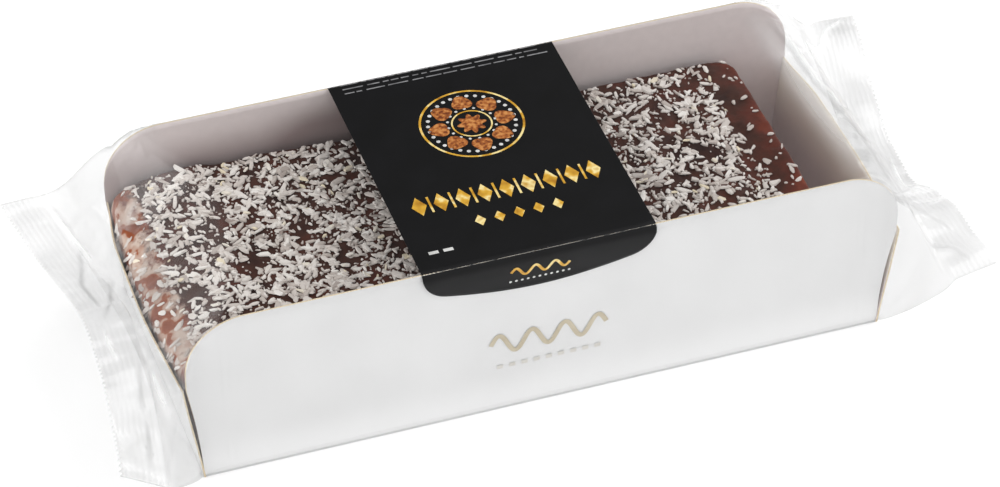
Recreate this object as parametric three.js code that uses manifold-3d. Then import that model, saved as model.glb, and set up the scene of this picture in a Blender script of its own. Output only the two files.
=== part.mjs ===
// A chocolate loaf cake with coconut flakes, in a folded card tray, wrapped in a clear film bag
// with crimped ends, under a paper label.
// Millimetres, +Z up. +X runs along the pack and -Y is its front. The origin is on the surface
// that the pack stands on, under its middle.
import * as THREE from 'three';
import { mergeVertices } from 'three/addons/utils/BufferGeometryUtils.js';
import Module from 'manifold-3d';

const wasm = await Module();
wasm.setup();

// ---- Driving dimensions ----
const CLEARANCE = 0.3; // between pieces that touch

// Card tray: a base, two long walls with round corners, two low end walls
const CARD = 0.8;
const BASE_LENGTH = 212.4;
const BASE_WIDTH = 88.7;
const WALL_HEIGHT = 60;
const WALL_LENGTH = 220; // of a long wall, where it is longest
const WALL_EDGE_START = 105.9; // half length of a long wall at the base
const WALL_CORNER_RADIUS = 18;
const WALL_LEAN = 1.5; // how far a long wall's top stands out past the base
const END_WALL_HEIGHT = 35.3;
const END_WALL_LEAN = 5.4;
const END_WALL_WIDTH = 89.4;
const END_WALL_BULGE = { left: 2.2, right: 1.6 }; // how far its middle stands out at the top

// Cake: pushed against the left end wall, and leaning out with it
const CAKE_LEFT = -105;
const CAKE_LEFT_LEAN = 5.2; // at the end wall's height
const CAKE_RIGHT = 93.6;
const CAKE_HALF_WIDTH = 42.9;
const CAKE_TOP = 42.4;
const CAKE_CORNER_RADIUS = 5;
const CAKE_TOP_LEFT = -95.6; // left edge of its top, past a wide shoulder
const CAKE_INSET = { right: 4.0, side: 1.4 }; // shoulder of the icing, at the top
const CAKE_SPREAD = 1.5; // how far its top is spread back at the left end
const CAKE_WAVE = 0.5; // unevenness of the icing's edges

// Coconut flakes on the icing
const FLAKE_SPACING = 5.25;
const FLAKE_LENGTH = [3.6, 6.4];
const FLAKE_WIDTH = [1.2, 2.3];
const FLAKE_RISE = [0.5, 1.3]; // height above the icing
const FLAKE_ROOT = 0.6; // depth below it
const FLAKE_EDGE = 2; // least distance from a flake's middle to the top's edge
const BARE_END = 82; // flakes are sparse to the right of this X

// Film bag
const FILM_TOP = 59.4; // between the long walls
const FILM_LOW = 0.6; // of the ends, so that the tray alone meets the floor
const FILM_SLOPE_START = 92; // half length of the flat top, along the long walls
const FIN_START = 126;
const FIN_REACH = 140;
const FIN_HALF_WIDTH = 60;
const FIN_THICKNESS = 0.8;
const FIN_WAVE = 110; // length of a fin's wave up and down along its width
// A fin's middle lies behind its corners by hollow and its front corner by skew. The film's slope
// starts earlier in the middle by dip, or later if dip is negative. The fin's front end sinks by
// drop, and by slant more along its inner side.
const FINS = {
  left: { height: 31, swing: 6, crest: -14, tilt: 3, hollow: 6, skew: 5.4, dip: 14, drop: 0, slant: 9 },
  right: { height: 25, swing: 8.5, crest: 62, tilt: 0, hollow: 4, skew: 3, dip: -12, drop: 5.6, slant: 2.9 },
};
const FILM_OVER_END = 1.2; // least height of the film over an end wall

// Paper label: a band over the top, with a flap down each long wall
const LABEL_LEFT = -39.2;
const LABEL_RIGHT = 32.5;
const LABEL_THICKNESS = 0.3;
const LABEL_FOLD_RADIUS = 0.5;
const LABEL_FRONT_END = 46.9; // lowest height of the front flap
const LABEL_BACK_END = 20; // lowest height of the back flap
const LABEL_END_ARC = 115; // radius of each flap's curved end
const LABEL_CORNER_RADIUS = 5;

// ---- Small helpers ----
const { clamp, lerp, smoothstep } = THREE.MathUtils;
const steps = (from, to, count) => Array.from({ length: count + 1 }, (_, i) => lerp(from, to, i / count));

// A repeatable stream of numbers from 0 to 1 (mulberry32)
function randomStream(seed) {
  let state = seed;
  return () => {
    state = (state + 0x6d2b79f5) | 0;
    let t = Math.imul(state ^ (state >>> 15), 1 | state);
    t = (t + Math.imul(t ^ (t >>> 7), 61 | t)) ^ t;
    return ((t ^ (t >>> 14)) >>> 0) / 4294967296;
  };
}

// Points and triangles as a solid, turned so that its faces point outwards
function solid(points, index) {
  const [a, b, c] = [0, 0, 0].map(() => new THREE.Vector3());
  let volume = 0;
  for (let i = 0; i < index.length; i += 3) {
    a.copy(points[index[i]]);
    b.copy(points[index[i + 1]]);
    c.copy(points[index[i + 2]]);
    volume += a.dot(b.cross(c));
  }
  const triVerts = Uint32Array.from(index);
  if (volume < 0) triVerts.reverse();
  const vertProperties = Float32Array.from(points.flatMap((p) => p.toArray()));
  return new wasm.Manifold(new wasm.Mesh({ numProp: 3, vertProperties, triVerts }));
}

// A three.js geometry as a solid
function geometrySolid(geometry) {
  const bare = geometry.clone();
  bare.deleteAttribute('normal');
  bare.deleteAttribute('uv');
  const merged = mergeVertices(bare, 1e-4);
  const place = merged.getAttribute('position');
  const point = (_, i) => new THREE.Vector3().fromBufferAttribute(place, i);
  return solid(Array.from({ length: place.count }, point), Array.from(merged.index.array));
}

// A solid between two faces, each a point function over the same grid of parameters
function gridSolid(us, vs, faceA, faceB) {
  const points = [faceA, faceB].flatMap((face) => vs.flatMap((v) => us.map((u) => face(u, v))));
  const at = (i, j, k) => (k * vs.length + j) * us.length + i;
  const index = [];
  const quad = (a, b, c, d) => index.push(a, b, c, a, c, d);
  const lastU = us.length - 1;
  const lastV = vs.length - 1;
  for (let j = 0; j < lastV; j++) {
    for (let i = 0; i < lastU; i++) {
      quad(at(i, j, 0), at(i + 1, j, 0), at(i + 1, j + 1, 0), at(i, j + 1, 0));
      quad(at(i, j, 1), at(i, j + 1, 1), at(i + 1, j + 1, 1), at(i + 1, j, 1));
    }
  }
  for (let i = 0; i < lastU; i++) {
    quad(at(i, 0, 1), at(i + 1, 0, 1), at(i + 1, 0, 0), at(i, 0, 0));
    quad(at(i, lastV, 0), at(i + 1, lastV, 0), at(i + 1, lastV, 1), at(i, lastV, 1));
  }
  for (let j = 0; j < lastV; j++) {
    quad(at(0, j, 0), at(0, j + 1, 0), at(0, j + 1, 1), at(0, j, 1));
    quad(at(lastU, j, 1), at(lastU, j + 1, 1), at(lastU, j + 1, 0), at(lastU, j, 0));
  }
  return solid(points, index);
}

function namedMesh(name, body, look) {
  const { vertProperties, triVerts } = body.getMesh();
  const geometry = new THREE.BufferGeometry();
  geometry.setAttribute('position', new THREE.BufferAttribute(vertProperties, 3));
  geometry.setIndex(new THREE.BufferAttribute(triVerts, 1));
  geometry.computeVertexNormals();
  const mesh = new THREE.Mesh(geometry, new THREE.MeshStandardMaterial(look));
  mesh.name = name;
  return mesh;
}

// ---- Card tray ----
const HALF_WALL = WALL_LENGTH / 2;
const CORNER_START = HALF_WALL - WALL_CORNER_RADIUS;

// Height of a long wall's top edge at X
function wallTop(x) {
  const past = Math.max(Math.abs(x) - CORNER_START, 0);
  const drop = WALL_CORNER_RADIUS - Math.sqrt(Math.max(WALL_CORNER_RADIUS ** 2 - past ** 2, 0));
  return WALL_HEIGHT - drop;
}

// Half length of a long wall at a height: its ends slant out as far up as the end walls reach
const wallEdge = (z) => lerp(WALL_EDGE_START, HALF_WALL, clamp(z / END_WALL_HEIGHT, 0, 1));

// Distance of a long wall's outer face from the middle
const wallFace = (z) => BASE_WIDTH / 2 + WALL_LEAN * (z / WALL_HEIGHT);

// X stations along a long wall, close together round its corners
const cornerTurns = steps(0, Math.PI / 2, 7).slice(1);
const cornerXs = cornerTurns.map((turn) => CORNER_START + WALL_CORNER_RADIUS * Math.sin(turn));
const WALL_XS = [...cornerXs.map((x) => -x).reverse(), ...steps(-CORNER_START, CORNER_START, 8), ...cornerXs];

// A long wall, grown by a margin above and inwards, and out to a given distance
function longWall(side, margin, thickness, outward) {
  const point = (x, share, offset) => {
    const z = share * (wallTop(x) + margin);
    const length = wallEdge(z) + margin;
    const along = (x / HALF_WALL) * length;
    return new THREE.Vector3(along, side * (wallFace(z) + offset), z);
  };
  return gridSolid(
    WALL_XS,
    steps(0, 1, 4),
    (x, share) => point(x, share, outward),
    (x, share) => point(x, share, -thickness),
  );
}

// An end wall, grown by a margin all round
function endWall(side, margin) {
  const bulge = side < 0 ? END_WALL_BULGE.left : END_WALL_BULGE.right;
  const halfWidth = END_WALL_WIDTH / 2 + margin;
  const point = (across, share, offset) => {
    const z = share * (END_WALL_HEIGHT + margin);
    const rise = z / END_WALL_HEIGHT;
    const out = BASE_LENGTH / 2 + rise * (END_WALL_LEAN + bulge * (1 - across ** 2)) + offset;
    return new THREE.Vector3(side * out, across * halfWidth, z);
  };
  return gridSolid(
    steps(-1, 1, 8),
    steps(0, 1, 3),
    (across, share) => point(across, share, margin),
    (across, share) => point(across, share, -CARD - margin),
  );
}

function baseSlab(margin) {
  const slab = new THREE.BoxGeometry(BASE_LENGTH + 2 * margin, BASE_WIDTH, CARD + margin);
  slab.translate(0, 0, (CARD + margin) / 2);
  return geometrySolid(slab);
}

const trayBody = baseSlab(0)
  .add(longWall(-1, 0, CARD, 0))
  .add(longWall(1, 0, CARD, 0))
  .add(endWall(-1, 0))
  .add(endWall(1, 0));

// ---- Cake with its flakes ----
// One level ring of the icing. share goes from 0 at the sides to 1 at the top's edge.
function cakeRing(z, share) {
  const leaning = CAKE_LEFT - CAKE_LEFT_LEAN * (z / END_WALL_HEIGHT);
  const left = lerp(leaning, CAKE_TOP_LEFT, share ** 2);
  const right = CAKE_RIGHT - CAKE_INSET.right * share;
  const half = CAKE_HALF_WIDTH - CAKE_INSET.side * share;
  const corner = (x, y, turn) =>
    steps(turn, turn + Math.PI / 2, 3).map((angle) => [
      x + CAKE_CORNER_RADIUS * Math.cos(angle),
      y + CAKE_CORNER_RADIUS * Math.sin(angle),
    ]);
  const [x0, x1, y1] = [left + CAKE_CORNER_RADIUS, right - CAKE_CORNER_RADIUS, half - CAKE_CORNER_RADIUS];
  const along = (from, to, count, place) => steps(from, to, count).slice(1, -1).map(place);
  const outline = [
    ...corner(x1, -y1, -Math.PI / 2),
    ...along(-y1, y1, 6, (y) => [right, y]),
    ...corner(x1, y1, 0),
    ...along(x1, x0, 12, (x) => [x, half]),
    ...corner(x0, y1, Math.PI / 2),
    ...along(y1, -y1, 6, (y) => [left, y]),
    ...corner(x0, -y1, Math.PI),
    ...along(x0, x1, 12, (x) => [x, -half]),
  ];
  return outline.map(([x, y]) => {
    const wave = -CAKE_WAVE * share * (1 + Math.sin(x * 0.31 + y * 0.43));
    const room = wallFace(z) - CARD - CLEARANCE;
    const spread = y > 0 ? CAKE_SPREAD * share * smoothstep(-x, 20, 95) : 0;
    const across = clamp(y + Math.sign(y) * wave + spread, -room, room);
    return new THREE.Vector3(x + Math.sign(x) * wave * 0.6, across, z);
  });
}

function cakeBody() {
  const levels = [
    [CARD + CLEARANCE, 0.25],
    [4, 0],
    [24, 0.06],
    [33, 0.28],
    [38, 0.55],
    [41, 0.82],
    [CAKE_TOP, 1],
  ];
  const rings = levels.map(([z, share]) => cakeRing(z, share));
  const count = rings[0].length;
  const index = [];
  for (let k = 0; k < rings.length - 1; k++) {
    for (let i = 0; i < count; i++) {
      const [a, b] = [k * count + i, k * count + ((i + 1) % count)];
      index.push(a, b, b + count, a, b + count, a + count);
    }
  }
  const cap = THREE.ShapeUtils.triangulateShape(rings[0].map((p) => new THREE.Vector2(p.x, p.y)), []);
  const topCap = THREE.ShapeUtils.triangulateShape(rings.at(-1).map((p) => new THREE.Vector2(p.x, p.y)), []);
  const topStart = (rings.length - 1) * count;
  cap.forEach(([a, b, c]) => index.push(a, c, b));
  topCap.forEach(([a, b, c]) => index.push(a + topStart, b + topStart, c + topStart));
  return solid(rings.flat(), index);
}

// One flake: a thin chip, wider at one end, lying flat in the icing
function flake(x, y, random) {
  const pick = ([low, high]) => lerp(low, high, random());
  const [length, endA, endB, rise] = [FLAKE_LENGTH, FLAKE_WIDTH, FLAKE_WIDTH, FLAKE_RISE].map(pick);
  const outline = new THREE.Shape([
    new THREE.Vector2(-length / 2, -endA / 2),
    new THREE.Vector2(length / 2, -endB / 2),
    new THREE.Vector2(length / 2, endB / 2),
    new THREE.Vector2(-length / 2, endA / 2),
  ]);
  const chip = new THREE.ExtrudeGeometry(outline, { depth: FLAKE_ROOT + rise, bevelEnabled: false });
  chip.rotateZ(random() * Math.PI);
  chip.translate(x, y, CAKE_TOP - FLAKE_ROOT);
  return geometrySolid(chip);
}

// Flakes over the whole top, one in each cell of a grid, moved by chance inside its cell
function flakes() {
  const random = randomStream(7);
  const left = CAKE_TOP_LEFT + FLAKE_EDGE;
  const right = CAKE_RIGHT - CAKE_INSET.right - FLAKE_EDGE;
  const half = CAKE_HALF_WIDTH - CAKE_INSET.side - FLAKE_EDGE;
  const reach = FLAKE_LENGTH[1] / 2 + CLEARANCE;
  const columns = Math.round((right - left) / FLAKE_SPACING);
  const rows = Math.round((2 * half) / FLAKE_SPACING);
  const chips = [];
  for (const column of steps(left, right, columns)) {
    for (const row of steps(-half, half, rows)) {
      const [x, y] = [column, row].map((place) => place + (random() - 0.5) * FLAKE_SPACING * 0.9);
      const kept = random() < (x > BARE_END ? 0.35 : 0.93);
      const room = Math.min(half, wallFace(CAKE_TOP) - CARD - reach);
      const inside = x > left && x < right && Math.abs(y) < room;
      if (kept && inside) chips.push(flake(x, y, random));
    }
  }
  return chips;
}

const cakeWithFlakes = wasm.Manifold.union([cakeBody(), ...flakes()]);

// ---- Film bag, solid with the air in it ----
function finHeight(fin, y, reach) {
  const swing = fin.swing * Math.cos((2 * Math.PI * (y - fin.crest)) / FIN_WAVE);
  const inner = clamp((FIN_REACH - reach) / (FIN_REACH - FIN_START), 0, 1);
  const sunk = smoothstep(-y, 30, FIN_HALF_WIDTH) * (fin.drop + fin.slant * inner);
  return fin.height + swing + (fin.tilt * y) / FIN_HALF_WIDTH - sunk;
}

// A point of the bag's outside. across goes from -1 at the front to 1 at the back.
function bagPoint(x, across, above) {
  const side = Math.sign(x) || 1;
  const reach = Math.abs(x);
  const fin = side < 0 ? FINS.left : FINS.right;
  const middle = 1 - across ** 2;
  const widen = clamp((reach - HALF_WALL + 2) / (FIN_START - HALF_WALL + 2), 0, 1);
  const half = lerp(BASE_WIDTH / 2 + WALL_LEAN + CLEARANCE, FIN_HALF_WIDTH, widen);
  const finZ = finHeight(fin, across * FIN_HALF_WIDTH, reach);
  const slopeStart = FILM_SLOPE_START - fin.dip * middle;
  const fall = smoothstep(reach, slopeStart, FIN_START) ** (1 + across ** 2);
  const lift = clamp((reach - BASE_LENGTH / 2) / (FIN_START - BASE_LENGTH / 2), 0, 1);
  const overEnd = END_WALL_HEIGHT + FILM_OVER_END;
  const bulge = side < 0 ? END_WALL_BULGE.left : END_WALL_BULGE.right;
  const pastEnd = BASE_LENGTH / 2 + END_WALL_LEAN + bulge + 4;
  const ridge = lerp(overEnd, finZ, smoothstep(reach, pastEnd, FIN_START));
  const top = Math.max(lerp(FILM_TOP, finZ, fall), ridge) + FIN_THICKNESS / 2;
  const low = lerp(FILM_LOW, finZ - FIN_THICKNESS / 2, lift);
  const z = above ? top : low;
  const behind = fin.hollow * middle + (fin.skew * (1 - across)) / 2;
  const inward = behind * clamp((reach - HALF_WALL) / (FIN_START - HALF_WALL), 0, 1) ** 2;
  return new THREE.Vector3(side * (reach - inward), across * half, z);
}

function bag() {
  const slope = steps(FILM_SLOPE_START - Math.max(FINS.left.dip, FINS.right.dip), FIN_START, 13);
  const outer = [...slope, FIN_REACH];
  const xs = [...outer.map((x) => -x).reverse(), ...outer];
  return gridSolid(
    xs,
    steps(-1, 1, 14),
    (x, across) => bagPoint(x, across, true),
    (x, across) => bagPoint(x, across, false),
  );
}

// The room that the cake takes from one long wall to the other
function cakeRoom() {
  const left = CAKE_LEFT - CLEARANCE;
  const right = CAKE_RIGHT + CLEARANCE;
  const top = CAKE_TOP + FLAKE_RISE[1] + CLEARANCE;
  const outline = new THREE.Shape([
    new THREE.Vector2(left, -1),
    new THREE.Vector2(right, -1),
    new THREE.Vector2(right, top),
    new THREE.Vector2(CAKE_TOP_LEFT - CAKE_CORNER_RADIUS, top),
    new THREE.Vector2(left - END_WALL_LEAN, END_WALL_HEIGHT),
  ]);
  const room = new THREE.ExtrudeGeometry(outline, { depth: BASE_WIDTH + 10, bevelEnabled: false });
  room.rotateX(Math.PI / 2);
  room.translate(0, BASE_WIDTH / 2 + 5, 0);
  return geometrySolid(room);
}

// The long walls are cut away from their inner faces to past the bag's own sides
const PAST_BAG = 2;
const bagAroundContents = bag()
  .subtract(baseSlab(CLEARANCE))
  .subtract(longWall(-1, CLEARANCE, CARD + CLEARANCE, PAST_BAG))
  .subtract(longWall(1, CLEARANCE, CARD + CLEARANCE, PAST_BAG))
  .subtract(endWall(-1, CLEARANCE))
  .subtract(endWall(1, CLEARANCE))
  .subtract(cakeRoom());

// ---- Paper label ----
const LABEL_MIDDLE = (LABEL_LEFT + LABEL_RIGHT) / 2;
const LABEL_HALF = (LABEL_RIGHT - LABEL_LEFT) / 2;

// How far a flap's end lies back at a distance from the label's middle line
function labelEndRise(x) {
  const fromMiddle = Math.abs(x - LABEL_MIDDLE);
  const intoCorner = Math.max(fromMiddle - (LABEL_HALF - LABEL_CORNER_RADIUS), 0);
  const corner = LABEL_CORNER_RADIUS - Math.sqrt(Math.max(LABEL_CORNER_RADIUS ** 2 - intoCorner ** 2, 0));
  return fromMiddle ** 2 / (2 * LABEL_END_ARC) + corner;
}

// A point of the label. path goes 0..1 up the back flap, 1..2 round its fold, 2..3 over the top
// and on in the same way down the front.
function labelPoint(x, path, lift) {
  const fold = LABEL_FOLD_RADIUS;
  const foldZ = WALL_HEIGHT + CLEARANCE - fold;
  const side = path <= 2.5 ? 1 : -1;
  const fromEnd = side > 0 ? path : 5 - path;
  const end = (side > 0 ? LABEL_BACK_END : LABEL_FRONT_END) + labelEndRise(x);
  const face = (z) => wallFace(z) + CLEARANCE;
  if (fromEnd <= 1) {
    const z = lerp(end, foldZ, fromEnd);
    return new THREE.Vector3(x, side * (face(z) + lift), z);
  }
  const turn = (Math.min(fromEnd, 2) - 1) * (Math.PI / 2);
  const y = face(foldZ) - fold + (fold + lift) * Math.cos(turn);
  return new THREE.Vector3(x, side * y, foldZ + (fold + lift) * Math.sin(turn));
}

function label() {
  const corner = steps(0, Math.PI / 2, 4).map((turn) => LABEL_CORNER_RADIUS * (1 - Math.sin(turn)));
  const inner = LABEL_HALF - LABEL_CORNER_RADIUS;
  const xs = [
    ...corner.map((inset) => LABEL_MIDDLE - LABEL_HALF + inset).reverse(),
    ...steps(LABEL_MIDDLE - inner, LABEL_MIDDLE + inner, 6).slice(1, -1),
    ...corner.map((inset) => LABEL_MIDDLE + LABEL_HALF - inset),
  ];
  const paths = [0, 1, 1.5, 2, 3, 3.5, 4, 5];
  return gridSolid(
    xs,
    paths,
    (x, path) => labelPoint(x, path, LABEL_THICKNESS),
    (x, path) => labelPoint(x, path, 0),
  );
}

// ---- The pack ----
const pack = new THREE.Group();
pack.add(
  namedMesh('tray', trayBody, { color: 0xe4e3e2, roughness: 0.55, metalness: 0 }),
  namedMesh('cake', cakeWithFlakes, { color: 0x4d2c24, roughness: 0.5, metalness: 0 }),
  namedMesh('film', bagAroundContents, {
    color: 0xf4f4f4,
    roughness: 0.12,
    metalness: 0,
    transparent: true,
    opacity: 0.25,
  }),
  namedMesh('label', label(), { color: 0x1c1c1e, roughness: 0.4, metalness: 0 }),
);

export default pack;
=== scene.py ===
import bmesh
import bpy
import numpy as np
from mathutils import Matrix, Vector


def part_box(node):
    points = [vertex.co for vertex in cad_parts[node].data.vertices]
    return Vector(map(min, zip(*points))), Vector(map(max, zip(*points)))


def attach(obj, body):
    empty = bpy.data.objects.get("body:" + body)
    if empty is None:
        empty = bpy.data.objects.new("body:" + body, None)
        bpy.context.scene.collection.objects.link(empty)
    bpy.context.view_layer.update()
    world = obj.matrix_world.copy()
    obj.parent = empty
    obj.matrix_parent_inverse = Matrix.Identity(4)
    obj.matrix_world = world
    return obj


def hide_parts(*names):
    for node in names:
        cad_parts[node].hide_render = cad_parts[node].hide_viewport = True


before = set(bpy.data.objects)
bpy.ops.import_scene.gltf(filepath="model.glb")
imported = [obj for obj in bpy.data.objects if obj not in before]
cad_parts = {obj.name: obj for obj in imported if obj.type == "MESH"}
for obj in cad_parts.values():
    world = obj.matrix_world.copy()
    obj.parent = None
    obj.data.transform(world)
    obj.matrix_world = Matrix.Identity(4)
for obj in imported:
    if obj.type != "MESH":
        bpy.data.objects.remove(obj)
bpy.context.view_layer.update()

# ---- Sizes in millimetres; mesh_piece turns them into metres ----
MM = 0.001


def node_box(name):
    """Lowest and highest corner of a CAD node in millimetres."""
    return [np.array(corner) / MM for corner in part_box(name)]


TRAY_HIGH, CAKE_HIGH, FILM_HIGH = (node_box(name)[1] for name in ("tray", "cake", "film"))
LABEL_LOW, LABEL_HIGH = node_box("label")

# Tray: folded card, as the CAD has it
CARD = 0.5
WALL_HEIGHT = TRAY_HIGH[2]
WALL_LEAN = 1.5  # how far a long wall's top stands out past the base
BASE_HALF_WIDTH = TRAY_HIGH[1] - WALL_LEAN
HALF_WALL = 110.0  # half length of a long wall, where it is longest
WALL_EDGE_START = 105.9  # and at the base
FRONT_GAP = {-1: 0.55, 1: 1.0}  # most that an end of the front wall stands back from its end wall
WALL_CORNER_RADIUS = 18.0
CORNER_START = HALF_WALL - WALL_CORNER_RADIUS
BASE_HALF_LENGTH = 106.2
END_WALL_HEIGHT = 35.3
END_WALL_HALF_WIDTH = 44.7
END_WALL_LEAN = 5.4
END_WALL_BULGE = {-1: 2.2, 1: 1.6}  # how far its middle stands out at the top
END_WALL_HELD = 1.5  # how far its back corner is held in there
TRAY_FLOOR = 0.15  # the tray's underside, over the film
BOTTOM_FOLD = 0.8  # radius of the fold along the base

# Cake, with its icing's top edge set in from its sides. Its left side leans on the end wall.
CAKE_LEFT, CAKE_RIGHT = -105.0, CAKE_HIGH[0]
CAKE_LEFT_LEAN = 5.2  # at the end wall's height
CAKE_LEFT_BULGE = 2.3  # and how much more in the middle
CAKE_TOP_LEFT = -95.6  # left edge of its top, past a wide shoulder
CAKE_HALF_WIDTH = CAKE_HIGH[1]
CAKE_TOP = 42.4
CAKE_CORNER_RADIUS = 5.0
CAKE_SPREAD = 1.5  # how far its top is spread back at the left end
CAKE_RISE = 1.0  # and how much it rises there
CAKE_INSET_RIGHT, CAKE_INSET_SIDE = 4.0, 1.4
CAKE_ROOM = 0.4  # between the cake and a long wall's inside
RELIEF_START = 30  # height on the side where the relief starts to fade in
RELIEF_SUNK = 0.25  # how far the relief's mean lies under the top
RELIEF_MOST = 1.6
CAKE_COLUMNS = 620  # corners of the cake's mesh round its side
CHIPS_TRIED, SPECKS_TRIED, SHOULDER_TRIED = 6800, 5500, 230  # places for flakes; chance drops some
MIDDLE_LINE = (-50, 48)  # X of the ends of the line that the top's rings close on
SHOULDER_Z = [0.9, 4, 24, 33, 38, 41, CAKE_TOP]  # heights of the side's profile
SHOULDER_SHARE = [0.25, 0, 0.06, 0.28, 0.55, 0.82, 1]  # share of the inset at each
BARE_END = 79.5  # flakes are sparse to the right of this X
FLAKES_LEFT = -107.0  # and end here, on the left shoulder

# Film bag, with fins that are crimped flat and cut in a zig-zag
FILM_GAP = 0.12  # between the film and the card
FILM_TOP = 60.05
FILM_SAG = 0.5  # how far its middle hangs
FILM_FLOOR = 0.05
SLOPE_START = 92.0  # half length of the flat top, along the long walls
FIN_START = 126.0
FIN_REACH = FILM_HIGH[0]
FIN_HALF_WIDTH = FILM_HIGH[1]
LAYER_GAP = 0.15  # between the fin's two layers
TOOTH = 1.0  # depth of the zig-zag edge
FILM_COLUMNS = 151  # corners of the film's mesh across its top
FILM_ROWS = 12  # and down each side
CRIMP_PITCH = 1.7
CRIMP_HEIGHT = 0.035
FILM_OVER_END = 0.7  # height of the film over an end wall
HOLLOW_START, HOLLOW_RUN = 110, 16  # a fin's hollow grows from here along this run
GAP_START = 116  # and the gap between its layers from here
FADE_START = 132  # large creases fade from here to its cut edge
LOOSE = (88, 108)  # small creases grow between these distances from the middle
HAZY = (98, 112)  # and the film turns hazy between these
CLEAR_MILK, HAZE_MILK = 0.012, 0.075  # how milky the clear film is, and how much more the hazy
FAN_X, FAN_Y = 98, 44  # where a fan of creases starts, at a long wall's end
FAN_REACH = 34  # how far its creases reach
CREASE_WIDTH = 0.8
FIN_WAVE = 110.0  # length of a fin's wave up and down along its width
# A fin's middle lies behind its corners by hollow and its front corner by skew. In the middle the
# film's slope starts earlier by dip, or later if dip is negative, and ends earlier by lead.
FINS = {
    -1: dict(height=31, swing=6, crest=-14, tilt=3, hollow=6, skew=5.4, dip=14, lead=4, drop=0, slant=9),
    1: dict(height=25, swing=8.5, crest=62, tilt=0, hollow=4, skew=3, dip=-12, lead=0, drop=5.6, slant=2.9),
}

# Label: a paper band over the top with a flap down each long wall
LABEL_PAPER = 0.12
LABEL_TOP = 60.35
LABEL_FOLD = 2.5  # radius of its bends over the walls' top edges
LABEL_BULGE = 1.3  # how far it stands off the wall just under a bend
LABEL_MIDDLE = (LABEL_LOW[0] + LABEL_HIGH[0]) / 2
LABEL_HALF = (LABEL_HIGH[0] - LABEL_LOW[0]) / 2
LABEL_FRONT_END = 46.9  # lowest height of the front flap
LABEL_BACK_END = 20.0
LABEL_END_ARC = 115.0  # radius of a flap's curved end
LABEL_CORNER_RADIUS = 7.0


# ---- Small helpers ----
def srgb(code):
    """Linear RGBA of a colour written as hex, as it looks on a screen."""
    shares = np.array([int(code[i : i + 2], 16) / 255 for i in (1, 3, 5)])
    linear = np.where(shares <= 0.04045, shares / 12.92, ((shares + 0.055) / 1.055) ** 2.4)
    return (*linear.tolist(), 1.0)


def mix(a, b, share):
    """From a at share 0 to b at share 1."""
    return a + (b - a) * share


def smooth(x, start, end):
    """0 before start and 1 after end, along 3t^2 - 2t^3 between them."""
    t = np.clip((x - start) / (end - start), 0, 1)
    return t * t * (3 - 2 * t)


def waves(x, y, size, seed, count=14):
    """An uneven surface of about -1..1: the sum of sine waves of about this length, each in a
    random direction, over the square root of their count."""
    random = np.random.default_rng(seed)
    total = np.zeros(np.broadcast(x, y).shape)
    for turn, phase, stretch in random.uniform((0, 0, 0.7), (np.pi, 2 * np.pi, 1.5), (count, 3)):
        total += np.sin((x * np.cos(turn) + y * np.sin(turn)) * 2 * np.pi / (size * stretch) + phase)
    return total / np.sqrt(count)


def weave(rows, columns, closed=False):
    """Corner numbers of the quads of a grid, whose columns meet again where it is closed."""
    start = np.arange(rows - 1)[:, None] * columns + np.arange(columns if closed else columns - 1)
    step = (np.arange(columns) + 1) % columns - np.arange(columns)
    step = step[: start.shape[1]]
    quads = np.stack([start, start + step, start + step + columns, start + columns], axis=-1)
    return quads.reshape(-1, 4)


def turned_outwards(points, faces, away=None):
    """The faces, reversed where they look inwards: by the sign of the enclosed volume, or for an
    open sheet by the side that away points to."""
    a, b, c = (points[faces[:, i]] for i in (0, 1, 2))
    normal = np.cross(b - a, c - a)
    if faces.shape[1] == 4:
        normal = normal + np.cross(c - a, points[faces[:, 3]] - a)
    weight = (normal * (a - points.mean(axis=0))).sum() if away is None else (normal @ away).sum()
    return faces if weight > 0 else faces[:, ::-1]


def mesh_piece(name, points, faces, material, node, flat=False, **attributes):
    """An object of these corners, given in millimetres. Each attribute holds one number a corner."""
    mesh = bpy.data.meshes.new(name)
    mesh.from_pydata((points.reshape(-1, 3) * MM).tolist(), [], faces.tolist())
    mesh.polygons.foreach_set("use_smooth", np.full(len(mesh.polygons), not flat))
    for key, values in attributes.items():
        mesh.attributes.new(key, "FLOAT", "POINT").data.foreach_set("value", np.ravel(values))
    mesh.materials.append(material)
    piece = bpy.data.objects.new(name, mesh)
    bpy.context.collection.objects.link(piece)
    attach(piece, "root")
    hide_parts(node)
    return piece


def weld(piece):
    """Joins corners that lie on one another, fills what is still open and turns faces outwards."""
    shell = bmesh.new()
    shell.from_mesh(piece.data)
    bmesh.ops.remove_doubles(shell, verts=shell.verts, dist=0.005 * MM)
    bmesh.ops.holes_fill(shell, edges=[e for e in shell.edges if e.is_boundary], sides=0)
    bmesh.ops.recalc_face_normals(shell, faces=shell.faces)
    shell.to_mesh(piece.data)
    shell.free()


def give_thickness(piece, thickness, *others):
    """Thickness behind a sheet's faces. Other materials are for its back and its cut edges."""
    solid = piece.modifiers.new("thickness", "SOLIDIFY")
    solid.thickness = thickness * MM
    solid.offset = -1
    for material in others:
        piece.data.materials.append(material)
    if others:
        solid.material_offset, solid.material_offset_rim = 1, 2


def bumps(place, size, detail=2.0, roughness=0.5):
    """Inputs of a noise at a place, whose bumps are about this many millimetres wide."""
    return {"Vector": place, "Scale": 1 / (size * MM), "Detail": detail, "Roughness": roughness}


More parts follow.
